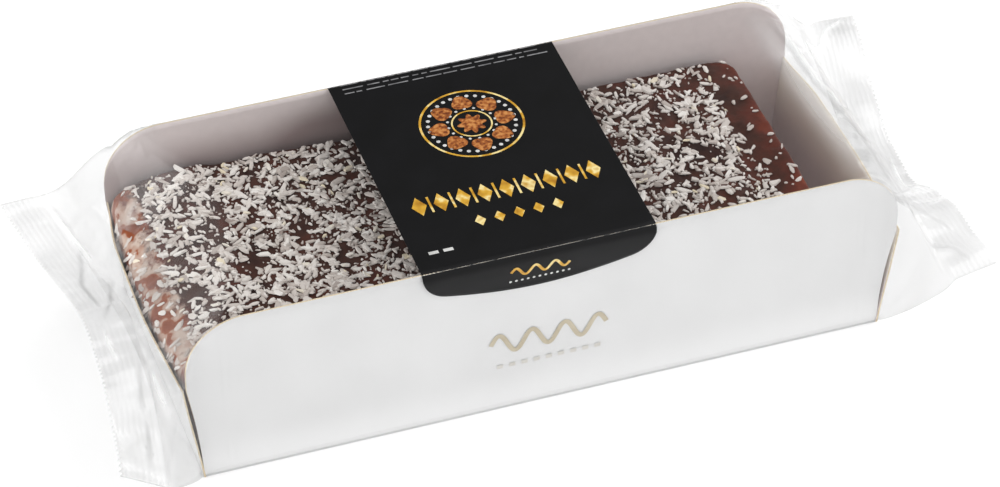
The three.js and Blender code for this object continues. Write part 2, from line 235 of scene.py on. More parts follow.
def add(tree, kind, inputs=(), output=0, stops=(), **settings):
    """Adds a shader node with its settings, and gives one of its outputs. Each input is linked to
    a socket or set to a value. A colour ramp also has stops of (place, hex)."""
    made = tree.nodes.new("ShaderNode" + kind)
    for key, value in settings.items():
        setattr(made, key, value)
    for key, value in dict(inputs).items():
        if isinstance(value, bpy.types.NodeSocket):
            tree.links.new(value, made.inputs[key])
        else:
            made.inputs[key].default_value = value
    if stops:
        ramp = made.color_ramp.elements
        ramp.remove(ramp[1])
        for i, (place, code) in enumerate(stops):
            stop = ramp.new(place) if i else ramp[0]
            stop.position, stop.color = place, srgb(code)
    return made.outputs[output] if made.outputs else None


def new_material(name):
    """A material, its node tree and the Object coordinates there, which its patterns lie on."""
    material = bpy.data.materials.new(name)
    material.use_nodes = True
    tree = material.node_tree
    tree.nodes.clear()
    return material, tree, add(tree, "TexCoord", output="Object")


# ---- Materials ----
# A Mix node of colours has its factor at input 0, its colours at 6 and 7, and gives output 2.

# Folding boxboard, clay coated: an even white, slightly satin, with faint clouds in the coating,
# and painted light that makes it brightest along the fold at the base
coated_card, tree, place = new_material("white coated boxboard")
clouds = add(tree, "TexNoise", bumps(place, 24, 3))
coating = add(tree, "ValToRGB", {"Fac": clouds}, stops=[(0.3, "#DEDEDE"), (0.7, "#E4E4E4")])
painted_light_low = add(tree, "Attribute", output="Fac", attribute_name="painted_light_low")
white = add(tree, "Mix", {0: painted_light_low, 6: coating, 7: srgb("#F2F2F2")}, 2, data_type="RGBA")
fibre = add(tree, "TexNoise", bumps(place, 0.9, 4, 0.7))
fibres = add(tree, "Bump", {"Height": fibre, "Strength": 0.12, "Distance": 0.05 * MM})
card = add(tree, "BsdfPrincipled", {"Base Color": white, "Roughness": 0.48, "IOR": 1.45, "Normal": fibres})
add(tree, "OutputMaterial", {"Surface": card})

# The board's bare side, inside the tray: warm grey, darkened by painted shade low down next to the cake
# and next to the label, and paled by painted light towards the top of the right end wall's inside
bare_card, tree, place = new_material("bare side of boxboard")
flecks = add(tree, "TexNoise", bumps(place, 3, 4, 0.6))
pulp = add(tree, "ValToRGB", {"Fac": flecks}, stops=[(0.3, "#E0D6D5"), (0.7, "#E6DCDB")])
painted_shade = add(tree, "Attribute", output="Fac", attribute_name="painted_shade")
shaded_pulp = add(tree, "Mix", {0: painted_shade, 6: pulp, 7: srgb("#9A8A89")}, 2, data_type="RGBA")
lit = add(tree, "Attribute", output="Fac", attribute_name="lit")
inner = add(tree, "Mix", {0: lit, 6: shaded_pulp, 7: srgb("#FBF5EA")}, 2, data_type="RGBA")
card = add(tree, "BsdfPrincipled", {"Base Color": inner, "Roughness": 0.6})
add(tree, "OutputMaterial", {"Surface": card})

# The same board's cut edge: bare fibre, cream, in layers
cut_card, tree, place = new_material("cut edge of boxboard")
flat = add(tree, "Mapping", {"Vector": place, "Scale": (1, 1, 0.2)})
layers = add(tree, "TexNoise", bumps(flat, 0.6, 3, 0.6))
cream = add(tree, "ValToRGB", {"Fac": layers}, stops=[(0.35, "#CDB893"), (0.65, "#E9DCC2")])
card = add(tree, "BsdfPrincipled", {"Base Color": cream, "Roughness": 0.85})
add(tree, "OutputMaterial", {"Surface": card})

# Chocolate icing: cocoa and sugar, smeared on by knife and set. Dark where it is thick, red-brown
# where it is thin, at the edges and the right end; greyish pink where the film has touched it.
icing, tree, place = new_material("set chocolate icing")
coats = add(tree, "TexNoise", bumps(place, 9, 4, 0.6))
thin = add(tree, "Math", {0: coats, 1: add(tree, "Attribute", output="Fac", attribute_name="thin")})
browns = [(0.30, "#2B1713"), (0.52, "#43261D"), (0.75, "#5A2A1F"), (0.9, "#6C3121"), (1.0, "#7C3A24")]
cocoa = add(tree, "ValToRGB", {"Fac": thin}, stops=browns)
spots = add(tree, "TexNoise", bumps(place, 3.2, 4, 0.65))
smear = add(tree, "Math", {0: spots, 1: add(tree, "Attribute", output="Fac", attribute_name="smear")})
touched = add(tree, "MapRange", {"Value": smear, "From Min": 0.86, "From Max": 1.08})
blotches = add(tree, "TexNoise", bumps(place, 7))
pinks = [(0.40, "#84401F"), (0.455, "#93502F"), (0.475, "#B29180"), (0.6, "#C7B4A7")]
pink = add(tree, "ValToRGB", {"Fac": blotches}, stops=pinks)
coat = add(tree, "Mix", {0: touched, 6: cocoa, 7: pink}, 2, data_type="RGBA")
strokes = add(tree, "TexNoise", bumps(place, 1.4, 5, 0.6))
knife = add(tree, "Bump", {"Height": strokes, "Strength": 0.5, "Distance": 0.25 * MM})
patches = add(tree, "TexNoise", bumps(place, 5, 3))
sheen = add(tree, "MapRange", {"Value": patches, "To Min": 0.34, "To Max": 0.62})
sugar = {"Base Color": coat, "Roughness": sheen, "IOR": 1.42, "Specular IOR Level": 0.27, "Normal": knife}
add(tree, "OutputMaterial", {"Surface": add(tree, "BsdfPrincipled", sugar)})

# Desiccated coconut: dry white chips, thin enough that some look grey, with a cream cast
coconut, tree, place = new_material("desiccated coconut")
tint = add(tree, "Attribute", output="Fac", attribute_name="tint")
whites = [(0.0, "#9A8D86"), (0.3, "#C4BAB3"), (0.6, "#DDD6D0"), (0.9, "#EFEBE6"), (1.0, "#E6DAC0")]
chip = add(tree, "ValToRGB", {"Fac": tint}, stops=whites)
grains = add(tree, "TexNoise", bumps(place, 0.5, 3))
rough = add(tree, "Bump", {"Height": grains, "Strength": 0.4, "Distance": 0.1 * MM})
dry = {"Base Color": chip, "Roughness": 0.62, "Specular IOR Level": 0.3, "Normal": rough}
add(tree, "OutputMaterial", {"Surface": add(tree, "BsdfPrincipled", dry)})

# Oriented polypropylene film: colourless and glossy, so it shows by what it mirrors. Creases and
# crimps are milky; the milk's tone paints shade in crease valleys and highlights on crests and glints.
clear_film, tree, place = new_material("clear polypropylene film")
slack = add(tree, "TexNoise", bumps(place, 9, roughness=0.4))
crinkle = add(tree, "Bump", {"Height": slack, "Strength": 0.2, "Distance": 0.4 * MM})
edge_on = add(tree, "LayerWeight", {"Blend": 0.5, "Normal": crinkle}, "Facing")
steep = add(tree, "Math", {0: edge_on, 1: 5.0}, operation="POWER")
share = add(tree, "Math", {0: steep, 1: 0.55, 2: 0.05}, operation="MULTIPLY_ADD")
gloss = add(tree, "BsdfGlossy", {"Color": srgb("#FFFFFF"), "Roughness": 0.12, "Normal": crinkle})
through = add(tree, "BsdfTransparent", {"Color": srgb("#FDFDFD")})
clear = add(tree, "MixShader", {0: share, 1: through, 2: gloss})
tone = add(tree, "Attribute", output="Fac", attribute_name="tone")
greys = [(0.0, "#606060"), (0.5, "#CACACA"), (1.0, "#FAFAFA")]
milk = add(tree, "BsdfDiffuse", {"Color": add(tree, "ValToRGB", {"Fac": tone}, stops=greys)})
milky = add(tree, "Attribute", output="Fac", attribute_name="milky")
film = add(tree, "MixShader", {0: milky, 1: clear, 2: milk})
add(tree, "OutputMaterial", {"Surface": film})

# Label paper: black all over, with a satin varnish
black_paper, tree, place = new_material("black varnished paper")
clouds = add(tree, "TexNoise", bumps(place, 12, 3))
black = add(tree, "ValToRGB", {"Fac": clouds}, stops=[(0.3, "#09090A"), (0.7, "#0E0E10")])
drawn = add(tree, "TexNoise", bumps(place, 0.7, 3, 0.6))
varnish = add(tree, "Bump", {"Height": drawn, "Strength": 0.08, "Distance": 0.05 * MM})
satin = {"Base Color": black, "Roughness": 0.5, "IOR": 1.45, "Specular IOR Level": 0.26, "Normal": varnish}
add(tree, "OutputMaterial", {"Surface": add(tree, "BsdfPrincipled", satin)})


def ink(name, stops, size, roughness=0.4):
    """Printing ink whose tone wanders between the stops over bumps of this many millimetres."""
    material, tree, place = new_material(name)
    wander = add(tree, "TexNoise", bumps(place, size))
    tone = add(tree, "ValToRGB", {"Fac": wander}, stops=stops)
    printed_ink = add(tree, "BsdfPrincipled", {"Base Color": tone, "Roughness": roughness})
    add(tree, "OutputMaterial", {"Surface": printed_ink})
    return material


# Printed gold: yellow ink whose tone shades to a pale gleam, a painted highlight; no foil
gold_ink = ink("gold ink", [(0.3, "#A8741C"), (0.48, "#D6A638"), (0.6, "#F0DFA0"), (0.75, "#C08E2A")], 4.5)
white_ink = ink("white ink", [(0.3, "#BDBDBB"), (0.7, "#DCDCDA")], 3)
grey_ink = ink("grey ink", [(0.3, "#6E6E70"), (0.7, "#98989A")], 3)
brown_ink = ink("brown ink", [(0.35, "#6B3418"), (0.5, "#A5602C"), (0.65, "#C98A4E")], 1.2)
dull_gold_ink = ink("dull gold ink on card", [(0.3, "#B9AC90"), (0.7, "#C9BEA6")], 5, 0.45)
pale_ink = ink("pale grey ink on card", [(0.3, "#CFCBC3"), (0.7, "#D8D5CF")], 4, 0.5)


# ---- Tray ----
def wall_top(x):
    """Height of a long wall's top edge: level, with a quarter circle down at each end."""
    past = np.clip(np.abs(x) - CORNER_START, 0, WALL_CORNER_RADIUS)
    return WALL_HEIGHT - WALL_CORNER_RADIUS + np.sqrt(WALL_CORNER_RADIUS**2 - past**2)


def wall_edge(z, gap):
    """Half length of a long wall at a height: its ends slant out as far up as the end walls reach,
    and bow in by a half sine on the way, which leaves a gap to the end wall."""
    rise = np.clip(z / END_WALL_HEIGHT, 0, 1)
    return mix(WALL_EDGE_START, HALF_WALL, rise) - gap * np.sin(np.pi * rise)


def wall_face(z):
    """Distance of a long wall's outer face from the middle: it leans out with height."""
    return BASE_HALF_WIDTH + WALL_LEAN * z / WALL_HEIGHT


def long_wall(side, name):
    """A grid over x and the share of the top's height. The lowest part curls in along the fold
    by r - sqrt(r^2 - (r - z)^2), and slow waves set the card in by up to 0.3 mm. Painted shade
    darkens its inside low down at the left, towards the cake, and next to the label."""
    turns = np.linspace(0, np.pi / 2, 19)[1:]
    corner = CORNER_START + WALL_CORNER_RADIUS * np.sin(turns)
    xs = np.concatenate([-corner[::-1], np.linspace(-CORNER_START, CORNER_START, 101), corner])
    shares = np.concatenate([[0, 0.003, 0.007, 0.012], np.linspace(0.02, 1, 30)])
    x, share = np.meshgrid(xs, shares, indexing="ij")
    z = share * wall_top(x)
    gap = np.where(x < 0, FRONT_GAP[-1], FRONT_GAP[1]) if side < 0 else 0.0
    along = x / HALF_WALL * wall_edge(z, gap)
    below = np.clip(BOTTOM_FOLD - z, 0, BOTTOM_FOLD)
    curl = BOTTOM_FOLD - np.sqrt(BOTTOM_FOLD**2 - below**2)
    set_in = 0.12 * (1 + waves(along, z, 70, 5)) * np.sin(np.pi * share)
    y = side * (wall_face(z) - curl - set_in)
    lifted = TRAY_FLOOR + z * (1 - TRAY_FLOOR / WALL_HEIGHT)
    points = np.stack([along, y, lifted], axis=-1).reshape(-1, 3)
    faces = turned_outwards(points, weave(*x.shape), np.array([0, side, 0]))
    # Painted shade on the inside: darker from the top edge down towards the cake at the left, and next to
    # the label's left edge
    painted_shade = 0.8 * (1 - smooth(z, 42, 57)) * (1 - smooth(x, -30, 20))
    painted_shade = painted_shade + 0.5 * smooth(x, -64, -42) * (1 - smooth(x, -36, -20)) * (1 - smooth(z, 50, 60))
    # Painted light: the outside turns whiter towards the base
    marks = dict(painted_shade=np.minimum(painted_shade, 1), painted_light_low=0.9 * (1 - smooth(z, 0, 17)))
    piece = mesh_piece(name, points, faces, coated_card, "tray", **marks)
    give_thickness(piece, CARD, bare_card, cut_card)


def end_wall(side, name):
    """A grid over width and height that leans out with height. Its middle bulges by 1 - a^2, and
    its back corner is held in to meet the long wall."""
    across, share = np.meshgrid(np.linspace(-1, 1, 61), np.linspace(0, 1, 25), indexing="ij")
    bulge = END_WALL_BULGE[side] * (1 - across**2) - END_WALL_HELD * smooth(across, 0.5, 1)
    set_in = 0.15 * share * (1 + waves(across * 40, share * 30, 30, 8))
    out = BASE_HALF_LENGTH + share * (END_WALL_LEAN + bulge) - set_in
    z = TRAY_FLOOR + share * (END_WALL_HEIGHT - TRAY_FLOOR)
    points = np.stack([side * out, across * END_WALL_HALF_WIDTH, z], axis=-1).reshape(-1, 3)
    faces = turned_outwards(points, weave(*across.shape), np.array([side, 0, 0]))
    # Painted light: the right end wall's inside turns paler towards its top
    lit = smooth(share, 0.3, 0.75) if side > 0 else 0 * share
    give_thickness(mesh_piece(name, points, faces, coated_card, "tray", lit=lit), CARD, bare_card, cut_card)


def tray_base():
    """A grid between the folds, which looks down. Its middle stands 0.05 mm up."""
    x, y = np.meshgrid(np.linspace(-1, 1, 41), np.linspace(-1, 1, 21), indexing="ij")
    z = TRAY_FLOOR + 0.05 * (1 - x**2) * (1 - y**2)
    points = np.stack([x * BASE_HALF_LENGTH, y * (BASE_HALF_WIDTH - BOTTOM_FOLD), z], axis=-1).reshape(-1, 3)
    faces = turned_outwards(points, weave(*x.shape), np.array([0, 0, -1]))
    give_thickness(mesh_piece("tray_base", points, faces, coated_card, "tray"), CARD, bare_card, cut_card)


long_wall(-1, "tray_front_wall")
long_wall(1, "tray_back_wall")
end_wall(-1, "tray_left_wall")
end_wall(1, "tray_right_wall")
tray_base()


# ---- Cake ----
def cake_relief(x, y):
    """Height of the icing's top surface over its mean: knife strokes and lumps, and a rise to
    the left back corner."""
    strokes = 0.35 * waves(x, y, 17, 1) + 0.16 * waves(x, y, 6, 2) + 0.05 * waves(x, y, 2.5, 3)
    return strokes + CAKE_RISE * smooth(-x, 30, 95) * smooth(y, -10, 40)


def spread(x, y):
    """Y of a place on the cake's top, whose back edge is spread towards the wall at the left."""
    return y + CAKE_SPREAD * smooth(-x, 20, 95) * np.clip(y / CAKE_HALF_WIDTH, 0, 1)


def cake_left(z, share, y):
    """X of the cake's left side: it leans on the bulging end wall, and past it curves in to the
    top's edge by share cubed."""
    rise = z / END_WALL_HEIGHT
    bulge = CAKE_LEFT_BULGE * (1 - np.clip(y / CAKE_HALF_WIDTH, -1, 1) ** 2)
    return mix(CAKE_LEFT - rise * (CAKE_LEFT_LEAN + bulge), CAKE_TOP_LEFT, share**3)


def cake_edge(turn, z, share):
    """A rounded rectangle, with squarer corners at the left, where the tray shapes them: there
    they run along the square roots of cos and sin. turn runs 0..1 round it, and share 0..1 sets
    it in to the top's edge."""
    left = cake_left(z, share, CAKE_HALF_WIDTH)
    right = CAKE_RIGHT - CAKE_INSET_RIGHT * share
    half = CAKE_HALF_WIDTH - CAKE_INSET_SIDE * share
    radius = CAKE_CORNER_RADIUS
    length, width = right - left - 2 * radius, 2 * (half - radius)
    arc = radius * np.pi / 2
    gone = turn * (2 * (length + width) + 4 * arc)
    parts = [length, arc, width, arc] * 2
    starts = np.cumsum([0] + parts)
    middle = np.array([(right + left) / 2, 0])
    corners = np.array([[1, -1], [1, 1], [-1, 1], [-1, -1]]) * [length / 2, width / 2] + middle
    x, y = np.zeros_like(gone), np.zeros_like(gone)
    for i, size in enumerate(parts):
        here = (gone >= starts[i]) & (gone <= starts[i + 1])
        t = (gone - starts[i]) / size
        quarter = (i // 2) * np.pi / 2 - np.pi / 2
        if i % 2:
            centre = corners[i // 2]
            angle = quarter + t * np.pi / 2
            round_x, round_y = np.cos(angle), np.sin(angle)
            power = 0.5 if centre[0] < 0 else 1
            px = centre[0] + radius * np.sign(round_x) * np.abs(round_x) ** power
            py = centre[1] + radius * np.sign(round_y) * np.abs(round_y) ** power
        else:
            a, b = corners[i // 2 - 1], corners[i // 2]
            off = radius * np.array([np.cos(quarter), np.sin(quarter)])
            px, py = mix(a[0], b[0], t) + off[0], mix(a[1], b[1], t) + off[1]
        x, y = np.where(here, px, x), np.where(here, py, y)
    return x + smooth(-x, 60, 100) * (cake_left(z, share, y) - left), y


def cake():
    """Rings from the underside's edge up the side and over the shoulder, then in over the top
    towards the middle line, plus the relief, which fades in over the shoulder."""
    turn = np.linspace(0, 1, CAKE_COLUMNS, endpoint=False)
    side_z = np.linspace(SHOULDER_Z[0], RELIEF_START, 10)
    profile_z = np.concatenate([side_z, np.linspace(RELIEF_START + 1, CAKE_TOP, 26)])
    rings = []
    for z in profile_z:
        share = np.interp(z, SHOULDER_Z, SHOULDER_SHARE)
        x, y = cake_edge(turn, z, share)
        rings.append(np.stack([x, y, np.full_like(x, z)], axis=-1))
    edge_x, edge_y = rings[-1][:, 0], rings[-1][:, 1]
    middle_x = np.clip(edge_x, *MIDDLE_LINE)
    for inwards in np.linspace(0, 1, 62)[1:]:
        x, y = mix(edge_x, middle_x, inwards), mix(edge_y, 0, inwards)
        rings.append(np.stack([x, y, np.full_like(x, CAKE_TOP)], axis=-1))
    points = np.array(rings)
    x, y, z = points[..., 0], points[..., 1], points[..., 2]
    rise = smooth(z, RELIEF_START, CAKE_TOP)
    lumps = waves(x + z, y + 0.7 * z, 9, 4) * 0.35 * (1 - rise)
    points[..., 2] = z + rise * (np.minimum(cake_relief(x, y), RELIEF_MOST) - RELIEF_SUNK)
    room = wall_face(z) - CARD - CAKE_ROOM
    points[..., 1] = np.clip(mix(y, spread(x, y), rise) * (1 + lumps / 60), -room, room)
    grid_shape = points.shape[:2]
    points = points.reshape(-1, 3)
    faces = turned_outwards(points, weave(*grid_shape, closed=True))
    x, y, z = points.T
    right_band = smooth(x, 80, 90)
    near_edge = 1 - smooth(np.abs(z - 38), 0, 4.5)
    thin = 0.3 * right_band + 0.2 * near_edge * (np.abs(x) > 60) + 0.25 * smooth(-x, 100, 104)
    smear = 0.52 * smooth(-x, 99, 104) * (1 - smooth(-y, 36, 41)) + 0.12 * near_edge * (1 - right_band)
    weld(mesh_piece("cake_icing", points, faces, icing, "cake", thin=thin, smear=smear))


cake()


def chips(random, x, y, z, tilt_x, tilt_y, length, width, thickness, tint_values, name, sides=7):
    """Flat chips, one at each place. An outline of about length x width, with random radii, makes
    a lower ring, and set in by a fifth an upper one. A middle corner closes each, the upper one
    domed. The chip curls along its length, turns by chance and leans by the two tilts."""
    count = len(x)
    angle = np.linspace(0, 2 * np.pi, sides, endpoint=False) + random.uniform(-0.25, 0.25, (count, sides))
    squared = 1 / np.maximum(np.abs(np.cos(angle)), np.abs(np.sin(angle))) ** 0.45
    radius = squared * random.uniform(0.8, 1.1, (count, sides))
    taper = 1 + random.uniform(-0.35, 0.35, (count, 1)) * np.cos(angle)
    u = radius * np.cos(angle) * length[:, None] / 2
    v = radius * np.sin(angle) * width[:, None] / 2 * taper
    zero = np.zeros((count, 1))
    half = thickness[:, None] / 2
    us = np.concatenate([u, u * 0.82, zero, zero], axis=1)
    vs = np.concatenate([v, v * 0.76, zero, zero], axis=1)
    ws = np.concatenate([np.repeat(-half, sides, 1), np.repeat(half, sides, 1), -half, half * 1.35], axis=1)
    ws = ws + random.uniform(-0.05, 0.09, (count, 1)) * us**2
    spin = random.uniform(0, 2 * np.pi, (count, 1))
    px = us * np.cos(spin) - vs * np.sin(spin)
    py = us * np.sin(spin) + vs * np.cos(spin)
    pz = ws + px * tilt_x[:, None] + py * tilt_y[:, None]
    points = np.stack([x[:, None] + px, y[:, None] + py, z[:, None] + pz], axis=-1)
    i = np.arange(sides)
    j = (i + 1) % sides
    ring = np.concatenate(
        [
            np.stack([i, j, j + sides], 1),
            np.stack([i, j + sides, i + sides], 1),
            np.stack([i + sides, j + sides, np.full(sides, 2 * sides + 1)], 1),
            np.stack([j, i, np.full(sides, 2 * sides)], 1),
        ]
    )
    faces = (np.arange(count)[:, None, None] * (2 * sides + 2) + ring).reshape(-1, 3)
    tints = np.repeat(tint_values, 2 * sides + 2)
    mesh_piece(name, points.reshape(-1, 3), faces, coconut, "cake", flat=True, tint=tints)


def icing_height(x, y):
    """Height of the icing: its relief over the top, and past the top's left edge over the
    shoulder, whose share is the cube root of the way in from the end wall."""
    left = cake_left(CAKE_TOP, 0, y)
    share = np.cbrt(np.clip((x - left) / (CAKE_TOP_LEFT - left), 0, 1))
    z = np.interp(share, SHOULDER_SHARE[1:], SHOULDER_Z[1:])
    return z - RELIEF_SUNK + np.minimum(cake_relief(x, y), RELIEF_MOST)


def shoulder_tilt(x, y):
    """The icing's two slopes at a place: past the top's left edge it rises towards +X."""
    slope = icing_height(x + 0.5, y) - icing_height(x - 0.5, y)
    return np.stack([slope * (x < CAKE_TOP_LEFT), 0 * x])


def scatter(random, count, margin):
    """Places over the cake's top, kept by chance where the coconut lies thick. Few are kept at
    the bare right end and on the left shoulder."""
    x = random.uniform(FLAKES_LEFT + margin, CAKE_RIGHT - CAKE_INSET_RIGHT - margin, count)
    y = spread(x, random.uniform(-1, 1, count) * (CAKE_HALF_WIDTH - CAKE_INSET_SIDE - margin))
    cover = 0.80 + 0.30 * waves(x, y, 16, 11) + 0.1 * waves(x, y, 6, 12)
    cover = cover * (1 - 0.86 * smooth(x, BARE_END - 3, BARE_END + 3)) * (1 - 0.25 * smooth(x, 35, 60))
    cover = cover - 0.12 * smooth(-x, 82, 93)
    cover = cover * (1 - 0.9 * smooth(-x + 1.5 * waves(x, y, 9, 14), 102, 106.5))
    kept = random.uniform(0, 1, count) < cover
    kept &= y < wall_face(CAKE_TOP) - CARD - 1.0 - margin
    return x[kept], y[kept]


def coconut_on_top():
    """Chips of 1.5 to 6 mm and a dust of specks, all lying in the icing's relief."""
    random = np.random.default_rng(20)
    x, y = scatter(random, CHIPS_TRIED, 0.8)
    count = len(x)
    length = np.clip(random.lognormal(1.0, 0.36, count), 1.3, 6.0)
    width = np.clip(length * random.uniform(0.26, 0.55, count), 0.6, 1.9)
    z = icing_height(x, y) + random.uniform(0.1, 0.75, count)
    tilts = random.normal(0, 0.16, (2, count)) + shoulder_tilt(x, y)
    tints = np.clip(random.normal(0.58, 0.2, count), 0, 1)
    chips(random, x, y, z, *tilts, length, width, random.uniform(0.25, 0.5, count), tints, "coconut_chips")
    x, y = scatter(random, SPECKS_TRIED, 0.3)
    count = len(x)
    length = random.uniform(0.5, 1.5, count)
    z = icing_height(x, y) + random.uniform(0.0, 0.25, count)
    tilts = random.normal(0, 0.2, (2, count)) + shoulder_tilt(x, y)
    tints = np.clip(random.normal(0.42, 0.2, count), 0, 1)
    sizes = (length, length * random.uniform(0.4, 0.8, count), random.uniform(0.2, 0.35, count))
    chips(random, x, y, z, *tilts, *sizes, tints, "coconut_specks", sides=5)


coconut_on_top()


def coconut_on_shoulder():
    """Chips pressed on the left end's slope by the film: they lean as it does."""
    random = np.random.default_rng(31)
    y = random.uniform(-40, 36, SHOULDER_TRIED)
    share = random.uniform(0.2, 1, SHOULDER_TRIED)
    kept = random.uniform(0, 1, SHOULDER_TRIED) < 0.35 + 0.5 * share + 0.35 * waves(y, share * 12, 11, 13)
    y, share = y[kept], share[kept]
    count = len(y)
    z = np.interp(share, SHOULDER_SHARE[1:], SHOULDER_Z[1:])
    x = cake_left(z, share, y) - 0.1
    tilt_x = np.minimum(1.6 * (1 - share) + 0.15, 1.3)
    length = random.uniform(1.4, 4.0, count)
    width = length * random.uniform(0.35, 0.6, count)
    tints = np.clip(random.normal(0.5, 0.2, count), 0, 1)
    tilts = (tilt_x, random.normal(0, 0.1, count))
    chips(random, x, y, z, *tilts, length, width, np.full(count, 0.3), tints, "coconut_shoulder_chips")


coconut_on_shoulder()


# ---- Film ----
def fin_height(side, y, reach):
    """Height of a fin, a cosine wave along its width. Its front end sinks by drop, and by slant
    more along its inner side."""
    fin = FINS[side]
    swing = fin["swing"] * np.cos(2 * np.pi * (y - fin["crest"]) / FIN_WAVE)
    inner = np.clip((FIN_REACH - reach) / (FIN_REACH - FIN_START), 0, 1)
    sunk = smooth(-y, 30, FIN_HALF_WIDTH) * (fin["drop"] + fin["slant"] * inner)
    return fin["height"] + swing + fin["tilt"] * y / FIN_HALF_WIDTH - sunk


# Large creases over the ends: height, how milky, and a line in plan as rows of distance from the
# middle and y. Those below 0 are valleys. The milk paints a highlight on a crest and shade in a
# valley, the stronger the higher or deeper it is.
CREASES = {
    -1: [
        (0.9, 0.2, [(126.7, 58.9), (124.1, 51.3), (120.4, 35.1), (117.4, 13.0)]),
        (-0.5, 0.2, [(121.0, 34.9), (125.6, 15.3), (124.1, -1.1)]),
        (-0.6, 0.2, [(117.4, 12.0), (120.0, 2.2), (124.7, -8.7)]),
        (0.6, 0.2, [(126.3, -10.9), (124.9, -26.2)]),
        (-0.7, 0.2, [(119.5, -27.3), (122.5, -40.4)]),
        (0.6, 0.2, [(116.9, -30.2), (116.0, -49.0)]),
        (-0.4, 0.2, [(121.4, -42.5), (124.3, -55.6)]),
    ],
    1: [
        (-0.45, 0.2, [(98.8, 35), (100.4, 23.3), (101.2, 4.3), (102.8, -9.8), (106, -28.8), (107.6, -46)]),
        (0.45, 0.3, [(100.8, 36.0), (102.0, 23.0), (102.8, 4.0), (104.6, -10.0), (108.4, -29.0)]),
        (-0.4, 0.1, [(106.0, -33.0), (113.0, -43.0), (120.0, -46.0), (126.5, -50.0), (130.4, -55.2)]),
        (-0.4, 0.1, [(122.0, 2.0), (120.8, -16.0), (123.6, -32.0), (131.0, -47.0)]),
        (0.6, 0.2, [(131.7, 10.9), (128.0, -27.3)]),
        (0.5, 0.2, [(127.0, -29.5), (135.6, -27.3)]),
        (0.5, 0.2, [(104.4, 28.8), (128.8, 55.2), (135.6, 58.4)]),
    ],
}
# Painted glints: whitish lines painted where light glances off the film: how milky, half width, line
PAINTED_GLINTS = {
    -1: [
        (0.08, 4.5, [(97.0, 48.0), (97.0, 24.0)]),
        (0.2, 0.9, [(104.4, 29.2), (106.8, 27.9), (109.2, 23.8)]),
        (0.2, 1.1, [(109.2, 31.6), (112.3, 23.1), (112.2, 15.0)]),
    ],
    1: [(0.36, 4.2, [(96.4, 40.0), (97.2, 1.0), (98.4, -20.0), (99.6, -44.0)])],
}


def along_line(x, y, line, width):
    """1 on a line of straight parts, falling off to both sides over this width and to its ends."""
    share = np.zeros(np.broadcast(x, y).shape)
    for i, ((x0, y0), (x1, y1)) in enumerate(zip(line[:-1], line[1:])):
        dx, dy = x1 - x0, y1 - y0
        t = np.clip(((x - x0) * dx + (y - y0) * dy) / (dx * dx + dy * dy), 0, 1)
        passed = (i + t) / (len(line) - 1)
        gap = np.hypot(x - x0 - t * dx, y - y0 - t * dy) / width
        share = np.maximum(share, np.exp(-(gap**2)) * np.sqrt(4 * passed * (1 - passed)))
    return share


def ridges(phase):
    """Sharp crests a period apart, with round hollows between: (1 - |sin|)^2."""
    return (1 - np.abs(np.sin(phase))) ** 2


def film_stations():
    """Places along one half of the bag: wide apart over the flat top, and 0.4 mm in the fins."""
    flat = np.linspace(0, 70, 15)[:-1]
    slope = np.arange(70, FIN_START - 2, 0.8)
    fin = np.arange(FIN_START - 2, FIN_REACH - 0.2, 0.425)
    return np.concatenate([flat, slope, fin, [FIN_REACH]])


def crimped(reach):
    """1 where the bag's layers are pressed together in a fin."""
    return smooth(reach, FIN_START - 2, FIN_START + 1)


def bag_surface(side, reach, a, t):
    """Y and Z of the smooth bag, from the distance from the middle, a = -1..1 across it and t = 0
    on the top to 1 under the base. The top spans the long walls, sinks over the end wall and
    meets the fin. A side lies on its wall and then narrows into the fin's edge."""
    fin = FINS[side]
    middle = 1 - a**2
    fin_z = fin_height(side, a * FIN_HALF_WIDTH, reach)
    start, stop = SLOPE_START - fin["dip"] * middle, FIN_START - fin["lead"] * middle
    fall = smooth(reach, start, stop) ** (1 + a**2)
    past_end = BASE_HALF_LENGTH + END_WALL_LEAN + END_WALL_BULGE[side] * middle + 1.5
    ridge = mix(END_WALL_HEIGHT + FILM_OVER_END, fin_z, smooth(reach, past_end, FIN_START - 2))
    top = np.maximum(mix(FILM_TOP - FILM_SAG * middle, fin_z, fall), ridge)
    rise = np.clip((reach - BASE_HALF_LENGTH) / (FIN_START - BASE_HALF_LENGTH), 0, 1)
    z = mix(top, mix(FILM_FLOOR, fin_z, rise), t)
    widened = np.clip((reach - HALF_WALL + 3) / (FIN_START - HALF_WALL + 3), 0, 1) ** 0.75
    return a * mix(wall_face(z) + FILM_GAP, FIN_HALF_WIDTH, widened), z


def film_creases(side, out, y, reach):
    """How far creases lift the film, how rough they make it, and its large creases as rows of
    height, share of milk and nearness. Small ones fan out from each long wall's end, with crests at
    even angles, or run from the end wall to the fin. The large ones have their own lines, a
    little bent."""
    loose = smooth(reach, *LOOSE) * (1 - smooth(reach, FIN_START - 6, FIN_START + 1))
    fan = 0
    for corner in (-1, 1):
        aside = y - corner * FAN_Y
        angle = np.arctan2(corner * aside, out - FAN_X)
        near = np.exp(-np.hypot(aside, out - FAN_X) / FAN_REACH)
        fan = fan + ridges(angle * 4.6 + 0.8 * waves(out, y, 26, 41 + corner)) * near
    runs = ridges(y * 0.23 + 1.1 * waves(out, y, 34, 44 + side)) * 0.6
    small = 0.15 * waves(out * 0.5, y, 7, 47 + side)
    bent = y + 0.5 * waves(out, y, 9, 55)
    large = [
        (height, share, along_line(out, bent, line, CREASE_WIDTH))
        for height, share, line in CREASES[side]
    ]
    folded = sum(height * near for height, _, near in large)
    lift = loose * (0.8 * fan + 0.6 * runs + small) + folded * (1 - smooth(reach, FADE_START, FIN_REACH))
    return lift, loose * (fan + runs), large


